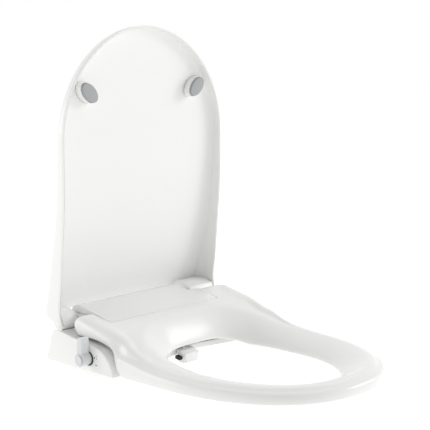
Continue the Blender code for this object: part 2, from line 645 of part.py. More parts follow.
def make_water_parts():
    """Inlet connector with its washer, and the two hoses inside the housing."""
    nipple = [(0, 4.0), (0, 8.0), (6.0, 8.0), (6.0, 12.0), (8.5, 12.0), (8.5, 10.2), (20.0, 10.2),
              (20.0, 4.0)]
    add_object("inlet_connector", turned(nipple, (50, 30.5, 22), (0, 1, 0)), "steel")
    washer = sleeve((50, 50.8, 22), (0, 1, 0), 2.0, 9.2, 4.0)
    add_object("inlet_washer", washer, "rubber_black")
    cover = bpy.data.objects["top_cover"]
    cut(cover, rod((50, 25, 22), (0, 1, 0), 15, 8.3))
    cut(cover, box(NOZZLE_X - 5, NOZZLE_X + 5, -64, -55, 39, 50))
    add_hose("supply_hose", [(50, 29.8, 22), (50, 20, 22), (20, 2, 18), (-60, -8, 16), (-120, -18, 16),
                             (-152, -38, 20), (-158, -46, 21), (-160, -52, 21)])
    add_hose("wash_hose", [(-150.5, LEVER_Y, LEVER_Z), (-147.5, LEVER_Y, LEVER_Z), (-143, -60, 22),
                           (-137, -44, 23), (-110, -38, 26), (-70, -40, 34), (-32, -42, 45),
                           (NOZZLE_X, -47, 47), (NOZZLE_X, -55, 46), (NOZZLE_X, -62, 44)])


def add_hose(name, route, radius=3.0):
    """Round hose along a smooth line through the route's points."""
    points = [Vector(p) for p in route]
    padded = [2 * points[0] - points[1]] + points + [2 * points[-1] - points[-2]]
    line = []
    steps = 4
    for i in range(1, len(padded) - 2):
        a, b, c, d = padded[i - 1:i + 3]
        for k in range(steps):
            t = k / steps
            line.append(0.5 * (2 * b + (c - a) * t + (2 * a - 5 * b + 4 * c - d) * t ** 2
                               + (3 * b - a - 3 * c + d) * t ** 3))
    line.append(points[-1])
    curve = bpy.data.curves.new(name, 'CURVE')
    curve.dimensions = '3D'
    spline = curve.splines.new('POLY')
    spline.points.add(len(line) - 1)
    for spot, p in zip(spline.points, line):
        spot.co = (*(p * MM), 1.0)
    curve.bevel_depth = radius * MM
    curve.bevel_resolution = 2
    curve.use_fill_caps = True
    hose = bpy.data.objects.new(name, curve)
    curve.materials.append(material("hose"))
    bpy.context.scene.collection.objects.link(hose)
    return hose


def make_release_button():
    """Push button in the right-hand side cover and the latch bar that it moves."""
    pivot = (HOUSING_HALF_W, -17.0, 17.0)
    face = rounded_rectangle(-28.0, -6.0, 12.0, 22.0, 2.0, 3)
    slab = prism_x(face, HOUSING_HALF_W - 6.0, HOUSING_HALF_W + 0.8)
    add_object("release_button", slab, "satin_white", pivot)
    bar = [(-20.0, 14.0), (-14.0, 14.0), (-14.0, 20.0), (-20.0, 20.0)]
    add_object("latch_bar", prism_x(bar, 112.0, HOUSING_HALF_W - 6.4), "inner_grey", pivot)


def main():
    """Build every piece of the bidet seat."""
    clear_scene()
    hinge = (0.0, HINGE_Y, HINGE_Z)
    make_housing()
    make_hinge_hardware()
    make_lever((-HOUSING_HALF_W, LEVER_Y, LEVER_Z))
    make_nozzle()
    make_guard()
    make_water_parts()
    make_release_button()
    make_seat(hinge)
    make_lid(hinge)


main()
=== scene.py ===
"""Lever-operated bidet seat with its lid open: the finished look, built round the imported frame.

Sizes are in millimetres and become metres where a primitive is added.  X runs across the seat, -Y is the
front and +Z is up.  The seat and the lid turn about one hinge axis that is parallel to X.
"""
from __future__ import annotations

import bisect
import json
import logging
import math
from dataclasses import dataclass, field
from enum import Enum
from typing import Callable, Sequence

import bpy
from mathutils import Matrix, Vector


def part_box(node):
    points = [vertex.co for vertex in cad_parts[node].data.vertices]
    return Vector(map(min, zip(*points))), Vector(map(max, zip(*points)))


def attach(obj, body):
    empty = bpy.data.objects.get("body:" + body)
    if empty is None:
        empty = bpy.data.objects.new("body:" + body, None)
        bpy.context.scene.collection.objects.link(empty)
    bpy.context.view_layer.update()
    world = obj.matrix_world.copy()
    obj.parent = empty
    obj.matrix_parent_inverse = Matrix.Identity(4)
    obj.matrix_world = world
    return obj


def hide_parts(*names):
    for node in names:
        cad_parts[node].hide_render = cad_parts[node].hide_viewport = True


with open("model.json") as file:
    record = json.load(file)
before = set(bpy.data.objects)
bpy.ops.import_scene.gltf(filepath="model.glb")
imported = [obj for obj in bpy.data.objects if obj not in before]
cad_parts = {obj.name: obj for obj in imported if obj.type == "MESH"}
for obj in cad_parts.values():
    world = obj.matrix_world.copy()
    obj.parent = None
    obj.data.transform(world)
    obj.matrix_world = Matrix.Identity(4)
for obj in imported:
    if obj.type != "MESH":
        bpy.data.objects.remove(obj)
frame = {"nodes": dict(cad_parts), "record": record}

MM = 0.001
LOG = logging.getLogger("bidet_seat")

Point = tuple[float, float, float]
Pair = tuple[float, float]


# ---------------------------------------------------------------- shader maths and finishes

class Value:
    """A shader socket that takes part in Python arithmetic."""

    def __init__(self, shader: "Shader", socket: bpy.types.NodeSocket) -> None:
        """Wrap an output socket of the shader's tree."""
        self.shader = shader
        self.socket = socket

    def _math(self, operation: str, first: "Value | float", second: "Value | float") -> "Value":
        """Add a Math node with two operands."""
        return self.shader.node("ShaderNodeMath", {"operation": operation}, {0: first, 1: second})

    def __add__(self, other: "Value | float") -> "Value":
        """Sum of two values."""
        return self._math("ADD", self, other)

    __radd__ = __add__

    def __sub__(self, other: "Value | float") -> "Value":
        """Difference of two values."""
        return self._math("SUBTRACT", self, other)

    def __rsub__(self, other: "Value | float") -> "Value":
        """Difference with a number first."""
        return self._math("SUBTRACT", other, self)

    def __mul__(self, other: "Value | float") -> "Value":
        """Product of two values."""
        return self._math("MULTIPLY", self, other)

    __rmul__ = __mul__


class Shader:
    """One procedural material round a Principled shader."""

    def __init__(self, name: str) -> None:
        """Make an empty material of that name."""
        self.material = bpy.data.materials.new(name)
        self.material.use_nodes = True
        self.tree = self.material.node_tree
        self.surface = self.tree.nodes["Principled BSDF"]

    def node(self, kind: str, settings: dict | None = None, inputs: dict | None = None,
             output: int | str = 0) -> Value:
        """Add a node.

        Args:
            kind: The node's type name.
            settings: Attributes, which are set before the sockets.
            inputs: Values or links by socket name or number.
            output: The output that is wanted.

        Returns:
            The chosen output as a value.
        """
        made = self.tree.nodes.new(kind)
        for key, value in (settings or {}).items():
            setattr(made, key, value)
        for key, value in (inputs or {}).items():
            self.feed(made.inputs[key], value)
        return Value(self, made.outputs[output])

    def feed(self, socket: bpy.types.NodeSocket, value: "Value | float | Sequence[float]") -> None:
        """Link a value to a socket, or set the socket's own number."""
        if isinstance(value, Value):
            self.tree.links.new(value.socket, socket)
        else:
            socket.default_value = value

    def surface_input(self, name: str, value: "Value | float | Sequence[float]") -> None:
        """Set or link one input of the Principled shader."""
        self.feed(self.surface.inputs[name], value)

    def coordinates(self, scale: Point = (1.0, 1.0, 1.0)) -> Value:
        """Object coordinates, stretched by a scale."""
        place = self.node("ShaderNodeTexCoord", output="Object")
        return self.node("ShaderNodeMapping", None, {"Vector": place, "Scale": scale})

    def noise(self, where: Value, scale: float, detail: float = 2.0, roughness: float = 0.5) -> Value:
        """Noise between 0 and 1, where scale is features per metre."""
        return self.node("ShaderNodeTexNoise", None, {
            "Vector": where, "Scale": scale, "Detail": detail, "Roughness": roughness}, "Fac")

    def tint(self, factor: Value, low: Point, high: Point) -> Value:
        """Colour between two colours."""
        return self.node("ShaderNodeMix", {"data_type": "RGBA"},
                         {"Factor": factor, 6: (*low, 1.0), 7: (*high, 1.0)}, 2)

    def bump(self, height: Value, distance: float, strength: float) -> None:
        """Raise the surface's normal by a height in metres times the distance."""
        normal = self.node("ShaderNodeBump", None,
                           {"Strength": strength, "Distance": distance, "Height": height})
        self.surface_input("Normal", normal)


@dataclass(frozen=True)
class Finish:
    """What every finish has: a name, a base colour and a roughness."""

    name: str
    colour: Point
    roughness: float

    def paint(self, shader: Shader) -> None:
        """Fill the shader's nodes in; each kind of finish has its own way."""
        raise NotImplementedError

    def shaded(self, factor: float) -> Point:
        """The base colour, lighter or darker."""
        red, green, blue = self.colour
        return (red * factor, green * factor, blue * factor)

    def material(self) -> bpy.types.Material:
        """Return the finish's material, made on first use."""
        if self.name not in bpy.data.materials:
            shader = Shader(self.name)
            self.paint(shader)
            shader.material.diffuse_color = (*self.colour, 1.0)
        return bpy.data.materials[self.name]


@dataclass(frozen=True)
class MouldedPlastic(Finish):
    """Injection-moulded plastic, with faint flow mottling and a fine orange-peel texture."""

    peel: float = 0.05
    coat: float = 0.25

    def paint(self, shader: Shader) -> None:
        """Mottled colour and roughness, orange peel and a clear skin."""
        where = shader.coordinates()
        flow = shader.noise(where, 9.0, 3.0, 0.55)
        fine = shader.noise(where, 620.0, 2.0, 0.6)
        peel = shader.noise(where, 210.0, 1.5, 0.45)
        shader.surface_input("Base Color", shader.tint(flow, self.shaded(0.975), self.shaded(1.02)))
        shader.surface_input("Roughness", self.roughness + (fine - 0.5) * 0.06 + (flow - 0.5) * 0.05)
        shader.surface_input("Coat Weight", self.coat)
        shader.surface_input("Coat Roughness", 0.12)
        shader.surface_input("IOR", 1.5)
        shader.bump(peel * 0.8 + fine * 0.2, 0.0004, self.peel)


@dataclass(frozen=True)
class Rubber(Finish):
    """Matt rubber with a dusty bloom and a fine grain."""

    def paint(self, shader: Shader) -> None:
        """Blotched colour and a grain."""
        where = shader.coordinates()
        bloom = shader.noise(where, 130.0, 4.0, 0.6)
        grain = shader.noise(where, 2400.0, 2.0, 0.7)
        shader.surface_input("Base Color", shader.tint(bloom, self.shaded(0.88), self.shaded(1.14)))
        shader.surface_input("Roughness", self.roughness + (bloom - 0.5) * 0.16)
        shader.surface_input("Specular IOR Level", 0.35)
        shader.bump(grain, 0.0002, 0.35)


@dataclass(frozen=True)
class DrawnMetal(Finish):
    """Metal with fine drawing lines along one axis."""

    along: Point = (20.0, 900.0, 900.0)

    def paint(self, shader: Shader) -> None:
        """Lines that are long along the drawing direction."""
        lines = shader.noise(shader.coordinates(self.along), 1.0, 3.0, 0.6)
        stain = shader.noise(shader.coordinates(), 60.0, 3.0, 0.5)
        shader.surface_input("Base Color", shader.tint(stain, self.shaded(0.9), self.shaded(1.05)))
        shader.surface_input("Metallic", 1.0)
        shader.surface_input("Roughness", self.roughness + (lines - 0.5) * 0.2 + (stain - 0.5) * 0.1)
        shader.bump(lines, 0.0002, 0.12)


@dataclass(frozen=True)
class PrintedInk(Finish):
    """Pad-printed ink, slightly uneven at this scale."""

    def paint(self, shader: Shader) -> None:
        """Thin ink that lets a little of the ground through."""
        cover = shader.noise(shader.coordinates(), 1500.0, 2.0, 0.6)
        shader.surface_input("Base Color", shader.tint(cover, self.shaded(0.8), self.shaded(1.4)))
        shader.surface_input("Roughness", self.roughness + (cover - 0.5) * 0.1)


class Finishes(Enum):
    """Every finish of the object and the record's slot that it belongs to."""

    GLOSS_WHITE = MouldedPlastic("gloss_white", (0.74, 0.74, 0.735), 0.24, 0.05, 0.35)
    SATIN_WHITE = MouldedPlastic("satin_white", (0.80, 0.80, 0.79), 0.36, 0.08, 0.0)
    LEVER_GREY = MouldedPlastic("lever_grey", (0.60, 0.61, 0.62), 0.26, 0.04, 0.4)
    INNER_GREY = MouldedPlastic("inner_grey", (0.36, 0.37, 0.38), 0.5, 0.12, 0.0)
    RUBBER_GREY = Rubber("rubber_grey", (0.30, 0.31, 0.32), 0.72)
    RUBBER_WHITE = Rubber("rubber_white", (0.66, 0.66, 0.64), 0.66)
    RUBBER_BLACK = Rubber("rubber_black", (0.022, 0.022, 0.023), 0.7)
    STEEL = DrawnMetal("steel", (0.60, 0.60, 0.61), 0.3)
    BRASS = DrawnMetal("brass", (0.66, 0.50, 0.27), 0.32, (700.0, 60.0, 60.0))
    HOSE = MouldedPlastic("hose", (0.70, 0.71, 0.72), 0.4, 0.1, 0.0)
    INK = PrintedInk("rubber_black_ink", (0.09, 0.09, 0.095), 0.45)


# ---------------------------------------------------------------- making pieces by hand

def curve_height(points: Sequence[Pair], at: float) -> float:
    """Height of the smooth, monotone curve through (position, height) points.

    Args:
        points: The curve's points, in rising position.
        at: Where the height is wanted.

    Returns:
        The height there.
    """
    xs = [p[0] for p in points]
    ys = [p[1] for p in points]
    if at <= xs[0]:
        return ys[0]
    if at >= xs[-1]:
        return ys[-1]
    i = bisect.bisect_right(xs, at) - 1
    slopes = [(ys[k + 1] - ys[k]) / (xs[k + 1] - xs[k]) for k in range(len(xs) - 1)]

    def tangent(k: int) -> float:
        """Slope of the curve at its point k."""
        if k == 0 or k == len(xs) - 1:
            return slopes[min(k, len(slopes) - 1)]
        before, after = slopes[k - 1], slopes[k]
        return 0.0 if before * after <= 0 else 2.0 * before * after / (before + after)

    step = xs[i + 1] - xs[i]
    t = (at - xs[i]) / step
    return ((2 * t ** 3 - 3 * t ** 2 + 1) * ys[i] + (t ** 3 - 2 * t ** 2 + t) * step * tangent(i)
            + (3 * t ** 2 - 2 * t ** 3) * ys[i + 1] + (t ** 3 - t ** 2) * step * tangent(i + 1))


@dataclass
class Piece:
    """One mesh that is being worked on, with the hand operations that it needs."""

    obj: bpy.types.Object

    @classmethod
    def take(cls, name: str) -> "Piece":
        """Name the primitive that was just added, and put its place into its mesh."""
        obj = bpy.context.object
        obj.name = name
        bpy.ops.object.transform_apply(location=True, rotation=True, scale=True)
        return cls(obj)

    @classmethod
    def copy_of(cls, node: str, name: str) -> "Piece":
        """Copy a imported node's mesh, joined up where its triangles meet.

        Args:
            node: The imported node.
            name: The new piece's name.

        Returns:
            The new piece.
        """
        source = frame["nodes"][node]
        obj = bpy.data.objects.new(name, source.data.copy())
        obj.data.materials.clear()
        bpy.context.scene.collection.objects.link(obj)
        piece = cls(obj)
        piece.edit(lambda: bpy.ops.mesh.remove_doubles(threshold=0.000004))
        return piece

    def pick(self) -> None:
        """Select this piece alone and make it active."""
        bpy.ops.object.select_all(action='DESELECT')
        self.obj.select_set(True)
        bpy.context.view_layer.objects.active = self.obj

    def edit(self, work: Callable[[], object],
             faces: Callable[[Vector, Vector], bool] | None = None) -> "Piece":
        """Run an edit-mode operation on all of the mesh, or on chosen faces.

        Args:
            work: The operation.
            faces: Says from a face's centre (mm) and normal whether it is selected.

        Returns:
            The piece.
        """
        self.pick()
        bpy.ops.object.mode_set(mode='EDIT')
        bpy.ops.mesh.select_mode(type='FACE')
        bpy.ops.mesh.select_all(action='SELECT' if faces is None else 'DESELECT')
        if faces is not None:
            bpy.ops.object.mode_set(mode='OBJECT')
            for face in self.obj.data.polygons:
                face.select = faces(face.center / MM, face.normal)
            bpy.ops.object.mode_set(mode='EDIT')
        work()
        bpy.ops.object.mode_set(mode='OBJECT')
        return self

    def modifier(self, kind: str, **settings: object) -> "Piece":
        """Add a modifier with these settings and apply it at once."""
        self.pick()
        added = self.obj.modifiers.new(kind.title(), kind)
        for key, value in settings.items():
            setattr(added, key, value)
        bpy.ops.object.modifier_apply(modifier=added.name)
        return self

    def bevel(self, width: float, segments: int = 3, angle: float = 38.0) -> "Piece":
        """Round every edge that is sharper than the angle."""
        return self.modifier('BEVEL', width=width * MM, segments=segments, limit_method='ANGLE',
                             angle_limit=math.radians(angle), use_clamp_overlap=True,
                             harden_normals=False)

    def boolean(self, tool: "Piece", operation: str) -> "Piece":
        """Cut, join or meet with another piece, which is used up."""
        self.modifier('BOOLEAN', operation=operation, object=tool.obj, solver='EXACT')
        bpy.data.objects.remove(tool.obj)
        return self

    def smooth(self, angle: float = 35.0) -> "Piece":
        """Shade smooth apart from edges sharper than the angle."""
        self.pick()
        bpy.ops.object.shade_smooth_by_angle(angle=math.radians(angle))
        return self

    def flatten(self) -> "Piece":
        """Dissolve the edges between faces that lie in one plane."""
        return self.edit(lambda: bpy.ops.mesh.dissolve_limited(angle_limit=math.radians(0.6)))

    def finish(self, finish: Finishes, body: str, stands_for: Sequence[str] = ()) -> "Piece":
        """Give the piece its material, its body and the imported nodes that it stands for.

        Args:
            finish: The finish.
            body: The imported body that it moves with.
            stands_for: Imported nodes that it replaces.

        Returns:
            The piece.
        """
        look = finish.value
        self.obj.data.materials.clear()
        self.obj.data.materials.append(look.material())
        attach(self.obj, body)
        if stands_for:
            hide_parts(*stands_for)
        LOG.info("%s: %d faces, rides on %s", self.obj.name, len(self.obj.data.polygons), body)
        return self


class Workshop:
    """Primitives at their size and place, in millimetres."""

    @staticmethod
    def block(name: str, low: Point, high: Point) -> Piece:
        """Add a block between two corners."""
        bpy.ops.object.select_all(action='DESELECT')
        centre = [(a + b) / 2 * MM for a, b in zip(low, high)]
        bpy.ops.mesh.primitive_cube_add(size=1.0, location=centre,
                                        scale=[(b - a) * MM for a, b in zip(low, high)])
        return Piece.take(name)

    @staticmethod
    def disc(name: str, start: Point, axis: Vector, length: float, radius: float,
             sides: int = 64) -> Piece:
        """Add a round bar from a start point along an axis."""
        bpy.ops.object.select_all(action='DESELECT')
        turn = Vector((0, 0, 1)).rotation_difference(axis.normalized()).to_euler()
        centre = (Vector(start) + axis.normalized() * length / 2) * MM
        bpy.ops.mesh.primitive_cylinder_add(vertices=sides, radius=radius * MM, depth=length * MM,
                                            location=centre, rotation=turn)
        return Piece.take(name)

    @staticmethod
    def sheet(name: str, rows: Sequence[Sequence[Point]], wrap: bool = False) -> Piece:
        """Add a grid and shape it to rows of points, in millimetres.

        Args:
            name: The piece's name.
            rows: Equal rows of points.
            wrap: Whether each row closes on itself.

        Returns:
            The shaped sheet, with points that meet welded together.
        """
        rows = [list(row) + ([row[0]] if wrap else []) for row in rows]
        across, along = len(rows[0]), len(rows)
        bpy.ops.object.select_all(action='DESELECT')
        bpy.ops.mesh.primitive_grid_add(x_subdivisions=across - 1, y_subdivisions=along - 1, size=1.0)
        piece = Piece.take(name)
        flat = [value * MM for row in rows for point in row for value in point]
        piece.obj.data.vertices.foreach_set("co", flat)
        piece.obj.data.update()
        return piece.edit(lambda: bpy.ops.mesh.remove_doubles(threshold=0.00001))


# ---------------------------------------------------------------- sub-assemblies

@dataclass
class Seat:
    """The ring seat with its raised rear, which carries the hinge knuckles."""

    half_width: float = 186.0
    ear_half_width: float = 175.0
    rear_y: float = -7.0
    cap_y: float = -215.0
    front_y: float = -452.0
    cap_power: float = 2.24
    opening_y: float = -251.0
    opening_half_width: float = 101.0
    opening_half_length: float = 140.0
    front_power: float = 2.05
    rear_power: float = 3.5
    wall: float = 3.0
    corner: float = 13.0
    crown_inset: float = 25.0
    bottom: list[Pair] = field(default_factory=lambda: [
        (-452, 1.5), (-139, 1.5), (-134, 4), (-126, 9.5), (-116, 20.5), (-109, 28), (-91, 37.8),
        (-57, 43.7), (0, 44.6)])
    ledge: list[Pair] = field(default_factory=lambda: [
        (-452, 16.4), (-283, 18), (-235, 19.2), (-197, 21), (-145, 27.5), (-112, 33), (-91, 41),
        (-57, 46.5), (0, 47)])
    crown: list[Pair] = field(default_factory=lambda: [
        (-452, 22), (-420, 23), (-300, 23.5), (-240, 24), (-200, 26), (-175, 29), (-150, 35.5),
        (-125, 45), (-100, 55.5), (-80, 62), (-61, 65.7), (-20, 73.5), (0, 77)])

    def outline(self) -> list[Vector]:
        """Plan points round the outer edge, from the front centre anticlockwise."""
        half = []
        steps = 28
        power = 2 / self.cap_power
        for k in range(steps):
            angle = math.pi / 2 * k / steps
            half.append((self.half_width * math.sin(angle) ** power,
                         self.cap_y + (self.front_y - self.cap_y) * math.cos(angle) ** power))
        side = [(-452, self.half_width), (-128, self.half_width), (-100, self.ear_half_width),
                (0, self.ear_half_width)]
        for y in (-215, -202, -190, -179, -168, -159, -150, -144, -138, -134, -130, -126, -121.5,
                  -117, -112, -107, -102, -95, -88, -78, -68, -58, -48, -39, -30, -24, -20):
            half.append((curve_height(side, y), y))
        for degrees in (15, 30, 45, 60, 75, 90):
            angle = math.radians(degrees)
            half.append((self.ear_half_width - self.corner + self.corner * math.cos(angle),
                         self.rear_y - self.corner + self.corner * math.sin(angle)))
        half += [(x, self.rear_y) for x in (153, 144, 134, 124, 110, 92, 70, 46, 23)]
        mirrored = [(-x, y) for x, y in reversed(half[1:])]
        return [Vector(p) for p in half + [(0.0, self.rear_y)] + mirrored]

    def opening_point(self, spot: Vector) -> tuple[Vector, float]:
        """Point of the opening that faces an outer point, and how far back it lies.

        Args:
            spot: A point of the outer edge.

        Returns:
            The opening's point, and 0 at the sides to 1 at the rear.
        """
        across = spot.x / self.half_width
        rear = spot.y > self.opening_y
        reach = self.rear_y - self.opening_y if rear else self.opening_y - self.front_y
        along = (spot.y - self.opening_y) / reach
        power = self.rear_power if rear else self.front_power
        scale = (abs(across) ** power + abs(along) ** power) ** (-1 / power)
        return Vector((self.opening_half_width * scale * across,
                       self.opening_y + self.opening_half_length * scale * along)), max(0.0, scale * along)

    def shoulder(self, y: float, rear: float) -> list[Pair]:
        """Inset and height of a section's outer points, from its bottom to its crown.

        Args:
            y: Where the section meets the outer edge.
            rear: 0 on the sides, 1 on the rear edge.

        Returns:
            Seven (inset, height) pairs.
        """
        bottom = curve_height(self.bottom, y)
        ledge = curve_height(self.ledge, y)
        crown = curve_height(self.crown, y)
        ring = [(0.0, bottom), (1.5, (bottom + ledge) / 2), (3.0, ledge), (11.5, ledge + 1.0),
                (14.5, ledge + 1.0 + 0.5 * (crown - ledge - 1.0)), (18.0, crown - 0.1 * (crown - ledge)),
                (self.crown_inset, crown)]
        ear = [(5.0, bottom), (1.0, bottom + 5), (0.0, (bottom + crown) / 2), (1.0, crown - 9),
               (5.0, crown - 4), (11.0, crown - 1.2), (self.crown_inset, crown)]
        back = [(13.0, 45.0), (4.0, 50.0), (0.0, 60.0), (2.0, 67.0), (6.5, 71.5), (13.0, 73.8),
                (self.crown_inset, curve_height(self.crown, -32))]
        to_ear = min(1.0, max(0.0, (y + 124) / 22)) ** 2.3
        side = [(a + (c - a) * to_ear, b + (d - b) * to_ear) for (a, b), (c, d) in zip(ring, ear)]
        return [(a + (c - a) * rear, b + (d - b) * rear) for (a, b), (c, d) in zip(side, back)]

    def section(self, spot: Vector) -> list[Point]:
        """Points of one section of the top, from its bottom outer edge to the opening."""
        inner, backness = self.opening_point(spot)
        way = inner - spot
        width = way.length
        way.normalize()
        rear = min(1.0, max(0.0, (spot.y - self.rear_y + self.corner) / self.corner))
        points = [(spot + way * inset, z) for inset, z in self.shoulder(spot.y, rear)]
        crown_at = max(26.0, width - 60.0 + 24.0 * backness ** 2)
        for part in (0.33, 0.67, 1.0):
            here = spot + way * (self.crown_inset + (crown_at - self.crown_inset) * part)
            if crown_at > 30.0 or part == 1.0:
                points.append((here, curve_height(self.crown, here.y)))
            else:
                points.append((spot + way * (self.crown_inset + part), curve_height(self.crown, spot.y)))
        lip = 1.5 + 12.5 * min(1.0, max(0.0, (inner.y + 150) / 38))
        for t in (0.86, 0.72, 0.6, 0.48, 0.37, 0.28, 0.2, 0.13, 0.08, 0.045, 0.02, 0.0):
            here = inner - way * (width - crown_at) * t
            rise = (1 - (1 - t) ** 1.35) ** 0.6
            points.append((here, lip + (curve_height(self.crown, here.y) - lip) * rise))
        return [(p.x, p.y, z) for p, z in points]

    def build(self, hinge: "HingeLine", panel: "Panel") -> None:
        """Model and finish the seat's pieces."""
        sections = [self.section(spot) for spot in self.outline()]
        shell = Workshop.sheet("seat_top", list(zip(*sections)), wrap=True)
        shell.edit(lambda: bpy.ops.mesh.normals_make_consistent(inside=False))
        centre_face = max(shell.obj.data.polygons, key=lambda f: f.center.z)
        if centre_face.normal.z < 0:
            shell.edit(bpy.ops.mesh.flip_normals)
        shell.modifier('SOLIDIFY', thickness=self.wall * MM, offset=-1.0, use_even_offset=True)
        shell.modifier('SUBSURF', levels=1, render_levels=1)
        notch = Workshop.block("notch", (panel.left - 1.1, panel.front - 1.7, 25.0),
                               (panel.right + 2.0, 10.0, 95.0))
        shell.boolean(notch, 'DIFFERENCE')
        for x0, x1, front in ((panel.left - 7.0, panel.left - 2.2, -18.0),
                              (panel.tower_right + 1.5, panel.right + 4.0, -14.0)):
            arm = hinge.knuckle("knuckle", x0, x1, front)
            shell.boolean(arm, 'UNION')
        shell.smooth(50.0).finish(Finishes.GLOSS_WHITE, "seat", ["seat_shell"])


@dataclass
class HingeLine:
    """The line that the seat and the lid turn about."""

    y: float = 20.0
    z: float = 58.0
    boss: float = 11.0
    bore: float = 6.5

    def knuckle(self, name: str, x0: float, x1: float, front: float) -> Piece:
        """A round boss about the line with an arm forwards to the seat, bored through."""
        piece = Workshop.disc(name, (x0, self.y, self.z), Vector((1, 0, 0)), x1 - x0, self.boss)
        arm = Workshop.block("arm", (x0, front, 52.0), (x1, self.y, 68.0))
        piece.boolean(arm, 'UNION')
        hole = Workshop.disc("hole", (x0 - 1, self.y, self.z), Vector((1, 0, 0)), x1 - x0 + 2, self.bore)
        return piece.boolean(hole, 'DIFFERENCE')


@dataclass
class Panel:
    """Where the fixed cover's panel lies between the seat's ears."""

    left: float = -136.5
    right: float = 107.5
    front: float = -60.0
    tower_right: float = 80.5


